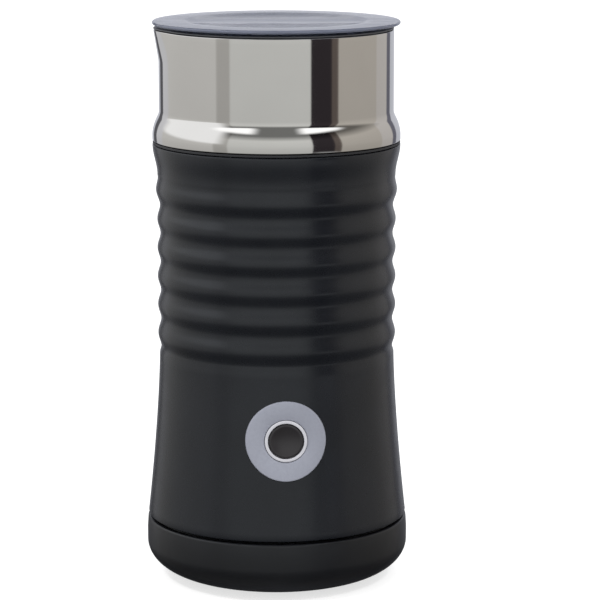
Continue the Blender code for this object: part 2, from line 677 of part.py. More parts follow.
def make_whisk():
    bush_foot = VESSEL_FLOOR_Z + 0.6
    bush = turned("whisk_bush", ring(BUSH_R[0], BUSH_R[1], bush_foot, 115.0), "white", TINY_STEPS)
    moving_on("whisk_lift_axis", (0.0, 0.0, bush_foot), [bush])

    low, high = WHISK_DISC_Z
    profile = [
        (0.0, HUB_TOP_Z), (HUB_R - 1.2, HUB_TOP_Z), (HUB_R, HUB_TOP_Z - 1.2), (HUB_R, high),
        (WHISK_DISC_R, high), (WHISK_DISC_R, low), (HUB_R, low), (HUB_R, 105.4),
        (HUB_BORE_R, 105.4), (HUB_BORE_R, 116.4), (0.0, 116.4),
    ]
    hub = turned("whisk_hub", profile, "black_satin", MID_STEPS)
    magnets = []
    for number, side in ((1, -1), (2, 1)):
        x = side * MAGNET_CIRCLE_R
        pocket = cutter_rod(f"whisk_pocket_{number}", x, 0.0, MAGNET_R + GAP, low + 0.7, 115.0)
        boolean(hub, pocket, "DIFFERENCE")
        magnet = turned(f"whisk_magnet_{number}", rod(MAGNET_R, low + 1.0, high), "magnet", TINY_STEPS)
        magnet.location.x = x * MM
        magnets.append(magnet)

    per_turn = 6
    count = COIL_TURNS * per_turn
    middle = (low + high) / 2.0
    points = []
    for i in range(count):
        around = 2.0 * math.pi * i / count * (1.0 - 0.5 / COIL_TURNS)
        twist = 2.0 * math.pi * i / per_turn
        r = COIL_RING_R + COIL_R * math.cos(twist)
        points.append((r * math.cos(around), r * math.sin(around), middle + COIL_R * math.sin(twist)))
    coil = wire("whisk_spring", points, COIL_WIRE_R, "steel")
    moving_on("whisk_axis", (0.0, 0.0, middle), [hub, coil] + magnets)


# ---------------------------------------------------------------- lid

def make_lid():
    top = LID_TOP_Z
    under = LID_UNDER_Z
    skirt_in, skirt_out = LID_SKIRT_R
    rim = arc((LID_R - LID_EDGE_R, top - LID_EDGE_R), (LID_EDGE_R, LID_EDGE_R), 90.0, -60.0, 6)
    profile = [(0.0, top - LID_DISH), (31.5, top - LID_DISH), (32.6, top)] + rim
    profile += [
        (LID_R - 0.8, under), (skirt_out, under), (skirt_out, LID_SKIRT_Z),
        (skirt_in, LID_SKIRT_Z), (skirt_in, under - 0.4), (0.0, under - 0.4),
    ]
    lid = turned("lid", profile, "clear", LARGE_STEPS)
    seal = turned("lid_seal", ring(skirt_out + GAP, VESSEL_R - GAP, 193.0, 195.4), "silicone",
                  LARGE_STEPS)
    moving_on("lid_axis", (0.0, 0.0, under), [lid, seal])


# ---------------------------------------------------------------- build

def shade(collection):
    """Smooth the round pieces, keeping edges over 35 degrees sharp."""
    for obj in collection.objects:
        if obj.type == "MESH":
            obj.data.shade_smooth()
            obj.data.set_sharp_from_angle(angle=math.radians(35.0))


def main():
    make_base_shell()
    make_feet_and_base_screws()
    make_base_top_plate()
    make_base_connector()
    make_cord_gland()
    make_jug_connector()
    jug = [make_housing()]
    jug += make_bottom_cover()
    jug += make_collar_and_vessel()
    jug += make_heater()
    jug += make_chassis()
    jug += make_motor()
    jug += make_control_board()
    jug += make_button_parts()
    moving_on("jug_axis", (0.0, 0.0, HOUSING_Z[0]), jug)
    make_whisk()
    make_lid()
    shade(PARTS)


main()
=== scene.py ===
"""Looks of the milk frother: fine shells, procedural materials, studio and camera."""

import json
import math

import bmesh
import bpy
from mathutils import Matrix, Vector

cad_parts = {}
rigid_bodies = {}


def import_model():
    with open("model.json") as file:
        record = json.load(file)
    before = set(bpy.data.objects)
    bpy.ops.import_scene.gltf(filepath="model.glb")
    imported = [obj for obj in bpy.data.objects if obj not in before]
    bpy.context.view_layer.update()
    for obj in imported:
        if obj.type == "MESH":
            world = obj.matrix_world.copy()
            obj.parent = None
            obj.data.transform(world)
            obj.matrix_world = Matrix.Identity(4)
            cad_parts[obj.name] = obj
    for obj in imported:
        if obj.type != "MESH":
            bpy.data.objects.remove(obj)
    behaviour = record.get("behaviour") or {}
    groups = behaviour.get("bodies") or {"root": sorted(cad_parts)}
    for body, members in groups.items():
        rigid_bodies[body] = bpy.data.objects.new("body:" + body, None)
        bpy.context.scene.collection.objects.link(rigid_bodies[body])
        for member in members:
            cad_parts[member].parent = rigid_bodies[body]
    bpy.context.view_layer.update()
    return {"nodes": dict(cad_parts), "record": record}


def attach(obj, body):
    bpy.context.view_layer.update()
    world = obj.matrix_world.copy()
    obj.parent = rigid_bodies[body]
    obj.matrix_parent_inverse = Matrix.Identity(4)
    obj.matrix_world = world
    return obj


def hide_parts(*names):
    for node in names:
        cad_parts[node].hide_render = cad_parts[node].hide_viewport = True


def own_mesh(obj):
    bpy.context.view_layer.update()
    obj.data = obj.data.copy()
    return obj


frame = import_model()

MM = 0.001
BODIES = frame["record"]["behaviour"]["bodies"]
SLOT_OF = {part["node"]: part["material_slot"] for part in frame["record"]["subparts"]}
BODY_OF = {node: body for body, nodes in BODIES.items() for node in nodes}

FINE = 192                   # facets of a large turned piece
MEDIUM = 96
SMALL = 48

# ---- the same driving sizes as the model, in millimetres
GAP = 0.3
BASE_R = 47.5
BASE_FLOOR_Z = 0.8
BASE_BEND_Z = 12.5
BASE_BEND_R = 30.4
BASE_RIM_Z = 21.8
BASE_WALL = 2.4
PLATE_R = 44.8
PLATE_Z = (19.5, 22.5)
CONNECTOR_R = 13.0
CONNECTOR_Z = (3.6, 27.0)
SLOT_FLOOR_Z = 14.0
CONTACT_TOP_Z = 24.0
FOOT_R = 5.0
FOOT_CIRCLE_R = 25.0
FOOT_ANGLES = (-45.0, 75.0, 195.0)
BASE_SCREW_CIRCLE_R = 20.0
BASE_SCREW_ANGLES = (15.0, 135.0, 255.0)
GLAND_Z = 11.0
GLAND_R = 4.2
HOUSING_Z = (22.8, 158.3)
WAIST_R = 42.45
FLARE_TOP_Z = 84.3
FOOT_FLARE = 4.6
RIB_FIRST_Z = 89.5
RIB_PITCH = 10.4
RIB_DEPTH = 0.55
RIB_COUNT = 6
SHOULDER_R = 44.5
SHOULDER_Z = 147.2
HOUSING_WALL = 2.2
COLLAR_Z = (159.7, 199.1)
NECK_Z = 170.4
STEEP_Z = 168.0
TURN_Z = 162.0
STEEPEST = 0.526
TURN_SLOPE = 0.08
COLLAR_R = 42.05
COLLAR_WALL = 0.9
VESSEL_R = 38.3
VESSEL_WALL = 1.0
VESSEL_FLOOR_Z = 104.0
VESSEL_LIP_Z = 199.9
VESSEL_LIP_R = 42.0
VESSEL_LIP_THICK = 0.5
SPOUT_START_Z = 188.0
SPOUT_OUT = 1.9
SPOUT_HALF_ANGLE = 24.0
LID_R = 44.3
LID_TOP_Z = 202.2
LID_UNDER_Z = 200.8
LID_EDGE_R = 0.65
LID_DISH = 0.7
LID_SKIRT_R = (34.9, 36.6)
LID_SKIRT_Z = 192.0
PIN_R = 1.6
PIN_TOP_Z = 116.0
BUSH_R = (1.9, 2.6)
HUB_BORE_R = 2.9
HUB_R = 5.0
HUB_TOP_Z = 119.5
WHISK_DISC_R = 17.0
WHISK_DISC_Z = (107.9, 110.5)
COIL_RING_R = 21.2
COIL_R = 3.2
COIL_WIRE_R = 0.5
COIL_TURNS = 54
MAGNET_R = 3.0
MAGNET_CIRCLE_R = 11.0
LEG_CIRCLE_R = 33.0
LEG_ANGLES = (90.0, 210.0, 330.0)
COVER_Z = (22.9, 25.3)
COVER_R = 44.0
SOCKET_R = (13.6, 15.9)
BUTTON_Z = 58.4
BUTTON_R = 6.1
LIGHT_RING_R = (6.45, 7.3)
BEZEL_R = (7.6, 14.2)
BUTTON_FACE = 43.9
BEZEL_PROUD = 0.35
SPRING_R = 3.2
SPRING_ENDS = (37.6, 40.6)   # distance of its first and last turn from the axis

# ---- camera, in metres and degrees
CAMERA_AZIMUTH = -4.7
CAMERA_DISTANCE = 0.990
CAMERA_SIDE = 0.00845
CAMERA_HEIGHT = 0.2846
CAMERA_PITCH = 10.52
CAMERA_LENS = 166.5


# ---------------------------------------------------------------- node helpers

class Paint:
    """A material's node tree with short calls for the nodes used here."""

    def __init__(self, name):
        self.material = bpy.data.materials.new(name)
        self.material.use_nodes = True
        self.tree = self.material.node_tree
        self.shader = self.tree.nodes["Principled BSDF"]
        self.place = self.tree.nodes.new("ShaderNodeTexCoord").outputs["Object"]

    def set(self, **values):
        for key, value in values.items():
            self.shader.inputs[key.replace("_", " ")].default_value = value
        return self

    def link(self, source, target):
        self.tree.links.new(source, target)

    def stretched(self, scale):
        mapping = self.tree.nodes.new("ShaderNodeMapping")
        mapping.inputs["Scale"].default_value = scale
        self.link(self.place, mapping.inputs["Vector"])
        return mapping.outputs["Vector"]

    def noise(self, scale, detail=3.0, rough=0.5, place=None):
        node = self.tree.nodes.new("ShaderNodeTexNoise")
        node.inputs["Scale"].default_value = scale
        node.inputs["Detail"].default_value = detail
        node.inputs["Roughness"].default_value = rough
        self.link(place or self.place, node.inputs["Vector"])
        return node.outputs["Fac"]

    def spread(self, value, low, high, start=0.3, end=0.7):
        node = self.tree.nodes.new("ShaderNodeMapRange")
        node.inputs["From Min"].default_value = start
        node.inputs["From Max"].default_value = end
        node.inputs["To Min"].default_value = low
        node.inputs["To Max"].default_value = high
        self.link(value, node.inputs["Value"])
        return node.outputs["Result"]

    def blend(self, value, first, second):
        node = self.tree.nodes.new("ShaderNodeMix")
        node.data_type = "RGBA"
        self.link(value, node.inputs["Factor"])
        node.inputs[6].default_value = (*first, 1.0)
        node.inputs[7].default_value = (*second, 1.0)
        return node.outputs[2]

    def colour(self, output):
        self.link(output, self.shader.inputs["Base Color"])
        return self

    def roughness(self, output):
        self.link(output, self.shader.inputs["Roughness"])
        return self

    def bump(self, height, strength, distance):
        node = self.tree.nodes.new("ShaderNodeBump")
        node.inputs["Strength"].default_value = strength
        node.inputs["Distance"].default_value = distance
        self.link(height, node.inputs["Height"])
        self.link(node.outputs["Normal"], self.shader.inputs["Normal"])
        return self


def shades(colour, amount):
    return (tuple(c * (1.0 - amount) for c in colour),
            tuple(min(1.0, c * (1.0 + amount)) for c in colour))


# ---------------------------------------------------------------- materials

def moulded(name, colour, rough, grain=0.08, grain_scale=2600.0, variation=0.10, specular=0.5):
    """Moulded plastic: faint cloudiness, uneven gloss and a fine skin."""
    paint = Paint(name)
    dark, light = shades(colour, variation)
    paint.colour(paint.blend(paint.spread(paint.noise(55.0), 0.0, 1.0), dark, light))
    paint.roughness(paint.spread(paint.noise(140.0, 4.0), rough * 0.88, rough * 1.12))
    paint.bump(paint.noise(grain_scale, 2.0), grain, 0.00005)
    paint.set(Specular_IOR_Level=specular, Specular_Tint=(0.92, 0.96, 1.0, 1.0))
    return paint.material


def metal(name, colour, rough, stretch=(60.0, 60.0, 2400.0), grain=0.05, variation=0.05, metallic=1.0):
    """Metal, or metallic paint, with fine lines left by polishing or turning."""
    paint = Paint(name)
    dark, light = shades(colour, variation)
    lines = paint.noise(1.0, 4.0, 0.6, paint.stretched(stretch))
    paint.colour(paint.blend(paint.spread(paint.noise(40.0), 0.0, 1.0), dark, light))
    paint.roughness(paint.spread(lines, rough * 0.8, rough * 1.25))
    paint.bump(lines, grain, 0.00002)
    paint.set(Metallic=metallic)
    return paint.material


def make_clear(name):
    """Clear bluish plastic with faint haze and a slightly wavy surface."""
    paint = Paint(name)
    haze = paint.spread(paint.noise(90.0, 3.0), 0.03, 0.07)
    tint = paint.spread(paint.noise(30.0), 0.0, 1.0)
    paint.colour(paint.blend(tint, (0.155, 0.170, 0.225), (0.20, 0.215, 0.275)))
    paint.roughness(haze)
    paint.bump(paint.noise(55.0, 2.0), 1.0, 0.0005)
    paint.set(Transmission_Weight=0.60, IOR=1.38, Specular_IOR_Level=0.16)
    return paint.material


def make_milky(name):
    paint = Paint(name)
    tint = paint.spread(paint.noise(200.0), 0.0, 1.0)
    paint.colour(paint.blend(tint, (0.40, 0.40, 0.43), (0.47, 0.47, 0.50)))
    paint.roughness(paint.spread(paint.noise(300.0), 0.22, 0.32))
    paint.set(Transmission_Weight=0.15, IOR=1.49)
    return paint.material


def make_board(name):
    """Circuit board: solder mask over copper tracks."""
    paint = Paint(name)
    brick = paint.tree.nodes.new("ShaderNodeTexBrick")
    brick.inputs["Scale"].default_value = 260.0
    brick.inputs["Mortar Size"].default_value = 0.06
    brick.inputs["Color1"].default_value = (0.010, 0.10, 0.040, 1.0)
    brick.inputs["Color2"].default_value = (0.014, 0.13, 0.052, 1.0)
    brick.inputs["Mortar"].default_value = (0.035, 0.24, 0.10, 1.0)
    paint.link(paint.place, brick.inputs["Vector"])
    paint.colour(brick.outputs["Color"])
    paint.roughness(paint.spread(paint.noise(150.0), 0.28, 0.42))
    paint.bump(brick.outputs["Fac"], 0.2, 0.00005)
    return paint.material


def make_winding(name):
    """Copper winding: close wires running along the rotor."""
    paint = Paint(name)
    wave = paint.tree.nodes.new("ShaderNodeTexWave")
    wave.bands_direction = "DIAGONAL"
    wave.inputs["Scale"].default_value = 520.0
    wave.inputs["Distortion"].default_value = 1.5
    paint.link(paint.place, wave.inputs["Vector"])
    paint.colour(paint.blend(wave.outputs["Fac"], (0.30, 0.11, 0.05), (0.78, 0.36, 0.18)))
    paint.roughness(paint.spread(paint.noise(400.0), 0.25, 0.45))
    paint.bump(wave.outputs["Fac"], 0.5, 0.0001)
    paint.set(Metallic=1.0)
    return paint.material


MATERIALS = {
    "black_gloss": moulded("black_gloss", (0.0050, 0.0057, 0.0078), 0.27, 0.04),
    "black_satin": moulded("black_satin", (0.0045, 0.0047, 0.0060), 0.36, 0.10),
    "steel": metal("steel", (0.66, 0.655, 0.645), 0.055, (30.0, 30.0, 3000.0), 0.012, 0.02),
    "silver": metal("silver", (0.355, 0.37, 0.435), 0.55, (900.0, 900.0, 900.0), 0.06, 0.05, 0.6),
    "non_stick": moulded("non_stick", (0.055, 0.056, 0.060), 0.36, 0.12, 1800.0, 0.12),
    "clear": make_clear("clear"),
    "light_pipe": make_milky("light_pipe"),
    "silicone": moulded("silicone", (0.012, 0.012, 0.014), 0.50, 0.10),
    "rubber": moulded("rubber", (0.012, 0.012, 0.012), 0.75, 0.30, 1500.0),
    "brass": metal("brass", (0.74, 0.53, 0.22), 0.24),
    "zinc": metal("zinc", (0.58, 0.58, 0.60), 0.30),
    "aluminium": metal("aluminium", (0.70, 0.70, 0.71), 0.38),
    "brown": moulded("brown", (0.040, 0.022, 0.013), 0.42, 0.10),
    "board": make_board("board"),
    "white": moulded("white", (0.62, 0.61, 0.57), 0.45, 0.08),
    "magnet": metal("magnet", (0.34, 0.34, 0.36), 0.20, (300.0, 300.0, 300.0)),
    "copper": make_winding("copper"),
}
BUTTON_BLACK = moulded("button_black", (0.016, 0.014, 0.015), 0.33, 0.05)


# ---------------------------------------------------------------- mesh helpers

def polar(radius, degrees):
    angle = math.radians(degrees)
    return radius * math.cos(angle), radius * math.sin(angle)


def arc(centre, radii, start, end, count):
    """Points of an elliptical arc in the (r, z) plane, angles in degrees from +r."""
    points = []
    for i in range(count + 1):
        angle = math.radians(start + (end - start) * i / count)
        points.append((centre[0] + radii[0] * math.cos(angle),
                       centre[1] + radii[1] * math.sin(angle)))
    return points


def rounded(points, radius, count=4, closed=True):
    """Replace each corner of an outline by a small curve. Ends on the axis stay sharp."""
    result = []
    total = len(points)
    for i, corner in enumerate(points):
        here = Vector(corner)
        before = Vector(points[i - 1]) - here
        after = Vector(points[(i + 1) % total]) - here
        is_end = not closed and i in (0, total - 1)
        if is_end or before.length < 1e-6 or after.length < 1e-6:
            result.append(tuple(here))
            continue
        if before.angle(after) > math.radians(150.0):
            result.append(tuple(here))
            continue
        reach = min(radius, before.length * 0.45, after.length * 0.45)
        start = here + before.normalized() * reach
        end = here + after.normalized() * reach
        for k in range(count + 1):
            t = k / count
            result.append(tuple(start * (1 - t) ** 2 + here * 2 * t * (1 - t) + end * t ** 2))
    return result


def ring(inner, outer, low, high):
    return [(outer, high), (outer, low), (inner, low), (inner, high)]


def make_object(name, mesh):
    obj = bpy.data.objects.new(name, mesh)
    bpy.context.scene.collection.objects.link(obj)
    return obj


def smooth(obj, degrees=40.0):
    obj.data.shade_smooth()
    obj.data.set_sharp_from_angle(angle=math.radians(degrees))
    return obj


def turned(name, profile, steps, warp=None):
    """Mesh turned about Z from an (r, z) outline in millimetres that runs down its outer side.

    An outline that starts at r = 0 is closed on the axis, any other is closed on itself.
    """
    closed = profile[0][0] > 1e-6
    mesh = bpy.data.meshes.new(name)
    shape = bmesh.new()
    columns = []
    for k in range(steps):
        angle = 2.0 * math.pi * k / steps
        column = []
        for i, (r, z) in enumerate(profile):
            if r < 1e-6 and k:
                column.append(columns[0][i])
                continue
            x, y = r * math.cos(angle), r * math.sin(angle)
            if warp:
                x, y = warp(x, y, z)
            column.append(shape.verts.new((x * MM, y * MM, z * MM)))
        columns.append(column)
    count = len(profile)
    for k in range(steps):
        here, beside = columns[k], columns[(k + 1) % steps]
        for i in range(count if closed else count - 1):
            j = (i + 1) % count
            corners = [here[i], here[j], beside[j], beside[i]]
            unique = list(dict.fromkeys(corners))
            if len(unique) > 2:
                shape.faces.new(unique)
    shape.to_mesh(mesh)
    shape.free()
    return smooth(make_object(name, mesh))


def bake(obj):
    graph = bpy.context.evaluated_depsgraph_get()
    mesh = bpy.data.meshes.new_from_object(obj.evaluated_get(graph))
    obj.modifiers.clear()
    obj.data = mesh
    return obj


def cut(obj, cutters):
    """Cut a list of objects out of obj, and remove them."""
    for cutter in cutters:
        modifier = obj.modifiers.new("cut", "BOOLEAN")
        modifier.operation = "DIFFERENCE"
        modifier.solver = "EXACT"
        modifier.object = cutter
        bpy.context.view_layer.update()
        bake(obj)
        bpy.data.objects.remove(cutter, do_unlink=True)
    return smooth(obj)


def rod(name, x, y, radius, low, high, steps=SMALL):
    profile = [(0.0, high), (radius, high), (radius, low), (0.0, low)]
    obj = turned(name, profile, steps)
    obj.location = (x * MM, y * MM, 0.0)
    return obj


def wire(name, points, radius, closed=False):
    """Round wire along a list of points in millimetres."""
    curve = bpy.data.curves.new(name, "CURVE")
    curve.dimensions = "3D"
    curve.bevel_depth = radius * MM
    curve.bevel_resolution = 3
    curve.use_fill_caps = True
    spline = curve.splines.new("POLY")
    spline.points.add(len(points) - 1)
    for spot, (x, y, z) in zip(spline.points, points):
        spot.co = (x * MM, y * MM, z * MM, 1.0)
    spline.use_cyclic_u = closed
    helper = bpy.data.objects.new("wire_helper", curve)
    bpy.context.scene.collection.objects.link(helper)
    bpy.context.view_layer.update()
    graph = bpy.context.evaluated_depsgraph_get()
    mesh = bpy.data.meshes.new_from_object(helper.evaluated_get(graph))
    bpy.data.objects.remove(helper, do_unlink=True)
    return smooth(make_object(name, mesh))


def lay(obj, rotation=(0.0, 0.0, 0.0), place=(0.0, 0.0, 0.0)):
    obj.rotation_euler = [math.radians(angle) for angle in rotation]
    obj.location = [value * MM for value in place]
    return obj


def face_front(obj, x=0.0):
    """Turn local +Z to -Y, on the button's axis."""
    return lay(obj, (90.0, 0.0, 0.0), (x, 0.0, BUTTON_Z))


def stand_for(obj, *nodes, material=None):
    """Let a fine piece take the place of its model nodes."""
    slot = SLOT_OF[nodes[0]]
    obj.data.materials.clear()
    obj.data.materials.append(material or MATERIALS[slot])
    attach(obj, BODY_OF[nodes[0]])
    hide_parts(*nodes)
    return obj


# ---------------------------------------------------------------- shared shapes

def housing_radius(z):
    """Outer radius of the jug's housing at height z, all in millimetres."""
    if z < FLARE_TOP_Z:
        share = (FLARE_TOP_Z - z) / (FLARE_TOP_Z - HOUSING_Z[0])
        return WAIST_R + FOOT_FLARE * share ** 1.5
    if z > SHOULDER_Z:
        share = (z - SHOULDER_Z) / (HOUSING_Z[1] - SHOULDER_Z)
        start = housing_radius(SHOULDER_Z)
        return start + (SHOULDER_R - start) * (1.0 - math.cos(math.pi * share)) / 2.0
    last_crest = RIB_FIRST_Z + RIB_PITCH * (RIB_COUNT - 1)
    rise = max(0.0, (z - last_crest + RIB_PITCH) / (SHOULDER_Z - last_crest + RIB_PITCH))
    wave = math.cos(2.0 * math.pi * (z - RIB_FIRST_Z) / RIB_PITCH)
    return WAIST_R + 0.9 * rise ** 2 + RIB_DEPTH * wave


def collar_radius(z):
    """Outer radius of the steel shoulder between TURN_Z and NECK_Z, in millimetres."""
    if z >= STEEP_Z:
        fall = STEEPEST / (NECK_Z - STEEP_Z)
        return COLLAR_R + fall * (NECK_Z - z) ** 2 / 2.0
    below = STEEP_Z - z
    fall = (STEEPEST - TURN_SLOPE) / (STEEP_Z - TURN_Z)
    return collar_radius(STEEP_Z) + STEEPEST * below - fall * below ** 2 / 2.0


def spout_warp(x, y, z):
    """Press the pouring lip outwards at -X, growing towards the rim."""
    radius = math.hypot(x, y)
    height = (z - SPOUT_START_Z) / (VESSEL_LIP_Z - SPOUT_START_Z)
    turn = abs(math.degrees(math.atan2(y, -x))) / SPOUT_HALF_ANGLE
    if height <= 0.0 or turn >= 1.0 or radius < VESSEL_R - 1.0:
        return x, y
    grow = 1.0 + SPOUT_OUT * height * (1.0 + math.cos(math.pi * turn)) / 2.0 / radius
    return x * grow, y * grow


def steps_between(low, high, count):
    return [low + (high - low) * i / count for i in range(count + 1)]


def screw(node, x, y, low, shank_top):
    profile = [(0.0, shank_top)] + rounded([
        (1.4, shank_top), (1.4, low + 1.5), (2.7, low + 1.5), (2.7, low + 0.4), (2.2, low),
        (1.1, low), (0.8, low + 0.8),
    ], 0.15, 2, closed=False) + [(0.0, low + 0.8)]
    obj = turned("fine_" + node, profile, SMALL)
    obj.location = (x * MM, y * MM, 0.0)
    return stand_for(obj, node)


# ---------------------------------------------------------------- power base

def make_base():
    bend = arc((BASE_BEND_R, BASE_BEND_Z), (BASE_R - BASE_BEND_R, BASE_BEND_Z - BASE_FLOOR_Z),
               0.0, -90.0, 28)
    inner = arc((BASE_BEND_R, BASE_BEND_Z),
                (BASE_R - BASE_BEND_R - BASE_WALL, BASE_BEND_Z - BASE_FLOOR_Z - BASE_WALL),
                -90.0, 0.0, 16)
    floor_z = BASE_FLOOR_Z + BASE_WALL
    rim = rounded([(BASE_R - BASE_WALL, BASE_RIM_Z), (BASE_R - 0.3, BASE_RIM_Z),
                   (BASE_R, BASE_RIM_Z - 4.5)], 0.9, 8, closed=False)
    profile = [(0.0, floor_z)] + inner + rim + bend + [(0.0, BASE_FLOOR_Z)]
    shell = turned("fine_base_shell", profile, FINE)
    cutters = []
    for i, angle in enumerate(FOOT_ANGLES):
        x, y = polar(FOOT_CIRCLE_R, angle)
        cutters.append(rod(f"cut_foot_{i}", x, y, FOOT_R + GAP, -1.0, 1.8))
    for i, angle in enumerate(BASE_SCREW_ANGLES):
        x, y = polar(BASE_SCREW_CIRCLE_R, angle)
        cutters.append(rod(f"cut_sink_{i}", x, y, 3.1, -1.0, 2.7))
    hole = rod("cut_gland", 0.0, 0.0, GLAND_R + 0.1, 38.0, 55.0)
    cutters.append(lay(hole, (-90.0, 0.0, 0.0), (0.0, 0.0, GLAND_Z)))
    stand_for(cut(shell, cutters), "base_shell")

    for i, angle in enumerate(FOOT_ANGLES, start=1):
        x, y = polar(FOOT_CIRCLE_R, angle)
        outline = [(0.0, 1.5)] + rounded([(FOOT_R, 1.5), (FOOT_R, 0.4), (FOOT_R - 0.5, 0.0)],
                                         0.25, 4, closed=False) + [(FOOT_R - 1.4, 0.0),
                                                                   (FOOT_R - 1.6, 0.25), (0.0, 0.25)]
        foot = turned(f"fine_base_foot_{i}", outline, SMALL)
        foot.location = (x * MM, y * MM, 0.0)
        stand_for(foot, f"base_foot_{i}")
    for i, angle in enumerate(BASE_SCREW_ANGLES, start=1):
        x, y = polar(BASE_SCREW_CIRCLE_R, angle)
        screw(f"base_screw_{i}", x, y, 0.9, 12.0)

    low, high = PLATE_Z
    profile = rounded([
        (CONNECTOR_R + GAP, high - 1.4), (16.6, high - 1.4), (17.4, high), (PLATE_R - 1.0, high),
        (PLATE_R, high - 0.8), (PLATE_R, low), (CONNECTOR_R + GAP, low),
    ], 0.35)
    stand_for(turned("fine_base_top_plate", profile, FINE), "base_top_plate")

    low, high = CONNECTOR_Z
    profile = [(0.0, 12.0)] + rounded([
        (2.2, 12.0), (2.2, high), (5.2, high), (5.2, SLOT_FLOOR_Z), (7.6, SLOT_FLOOR_Z),
        (7.6, high), (9.3, high), (9.3, SLOT_FLOOR_Z), (11.4, SLOT_FLOOR_Z), (11.4, high),
        (CONNECTOR_R, high), (CONNECTOR_R, low),
    ], 0.4, 4, closed=False) + [(0.0, low)]
    stand_for(turned("fine_base_connector", profile, MEDIUM), "base_connector")
    contact_low = SLOT_FLOOR_Z + GAP
    contacts = {
        "base_contact_centre": ring(1.5, 1.9, 12.3, 20.0),
        "base_contact_inner": ring(6.9, 7.3, contact_low, CONTACT_TOP_Z),
        "base_contact_outer": ring(10.7, 11.1, contact_low, CONTACT_TOP_Z),
    }
    for node, outline in contacts.items():
        stand_for(turned("fine_" + node, rounded(outline, 0.15, 3), MEDIUM), node)

    profile = rounded([(1.6, 47.2), (3.0, 47.2), (GLAND_R, 46.6), (GLAND_R, 40.0), (1.6, 40.0)], 0.3)
    gland = turned("fine_cord_gland", profile, SMALL)
    stand_for(lay(gland, (-90.0, 0.0, 0.0), (0.0, 0.0, GLAND_Z)), "cord_gland")


# ---------------------------------------------------------------- jug's connector and floor

def make_jug_connector():
    inner, outer = SOCKET_R
    low = COVER_Z[0]
    profile = [(0.0, 31.5)] + rounded([
        (outer, 31.5), (outer, low), (inner, low), (inner, 28.3),
    ], 0.4, 4, closed=False) + [(0.0, 28.3)]
    stand_for(turned("fine_jug_socket", profile, MEDIUM), "jug_socket")
    pin = [(0.0, 28.0), (1.2, 28.0)] + arc((0.0, 15.2), (1.2, 1.2), 0.0, -90.0, 8)
    stand_for(turned("fine_live_pin", pin, SMALL), "live_pin")
    rings = {"neutral_ring": (5.8, 6.3), "earth_ring": (9.7, 10.2)}
    for node, (near, far) in rings.items():
        stand_for(turned("fine_" + node, rounded(ring(near, far, 17.0, 28.0), 0.2, 3), MEDIUM), node)


def make_bottom_cover():
    low, high = COVER_Z
    profile = rounded([
        (COVER_R, high), (COVER_R, low), (SOCKET_R[1] + 6.0, low), (SOCKET_R[1] + 5.2, low + 0.6),
        (SOCKET_R[1] + GAP, low + 0.6), (SOCKET_R[1] + GAP, high),
    ], 0.3)
    cover = turned("fine_bottom_cover", profile, FINE)
    cutters = []
    for i, angle in enumerate(LEG_ANGLES):
        x, y = polar(LEG_CIRCLE_R, angle)
        cutters.append(rod(f"cut_cover_{i}", x, y, 3.1, 20.0, 24.7))
        screw(f"cover_screw_{i + 1}", x, y, low, 36.0)
    stand_for(cut(cover, cutters), "bottom_cover")


# ---------------------------------------------------------------- housing

def make_housing():
    low, high = HOUSING_Z
    heights = steps_between(low + 0.7, FLARE_TOP_Z, 30)[:-1]
    heights += steps_between(FLARE_TOP_Z, SHOULDER_Z, RIB_COUNT * 18)[:-1]
    heights += steps_between(SHOULDER_Z, high - 0.3, 16)
    outside = [(housing_radius(low) - 0.7, low), (housing_radius(low) - 0.2, low + 0.15)]
    outside += [(housing_radius(z), z) for z in heights]
    outside += [(SHOULDER_R - 0.08, high - 0.12), (SHOULDER_R - 0.3, high)]
    inside = [
        (housing_radius(low) - HOUSING_WALL, low), (housing_radius(45.0) - HOUSING_WALL, 45.0),
        (housing_radius(66.0) - HOUSING_WALL, 66.0), (40.0, 88.0), (40.0, SHOULDER_Z),
        (SHOULDER_R - HOUSING_WALL, high),
    ]
    housing = turned("fine_housing", outside[::-1] + inside, FINE)
    hole = face_front(rod("cut_bezel", 0.0, 0.0, BEZEL_R[1] + 0.12, 30.0, 60.0, MEDIUM))
    stand_for(cut(housing, [hole]), "housing")


# ---------------------------------------------------------------- steel collar, vessel and pin

def make_collar():
    low, high = COLLAR_Z
    outside = rounded([(COLLAR_R - COLLAR_WALL, high), (COLLAR_R, high), (COLLAR_R, high - 2.0)],
                      0.3, 4, closed=False)[1:]
    outside += [(COLLAR_R, z) for z in steps_between(high - 2.2, NECK_Z + 0.3, 24)]
    outside += [(collar_radius(z), z) for z in steps_between(NECK_Z, TURN_Z + 0.2, 40)]
    outside += [(SHOULDER_R, TURN_Z - 0.3)]
    outside += rounded([(SHOULDER_R, TURN_Z - 0.6), (SHOULDER_R, low), (SHOULDER_R - COLLAR_WALL, low)],
                       0.3, 4, closed=False)[1:]
    inside = [(SHOULDER_R - COLLAR_WALL, TURN_Z - 0.4), (COLLAR_R - COLLAR_WALL, NECK_Z - 0.8)]
    inside += [(COLLAR_R - COLLAR_WALL, z) for z in steps_between(SPOUT_START_Z, high, 8)]
    stand_for(turned("fine_steel_collar", outside + inside, FINE, spout_warp), "steel_collar")


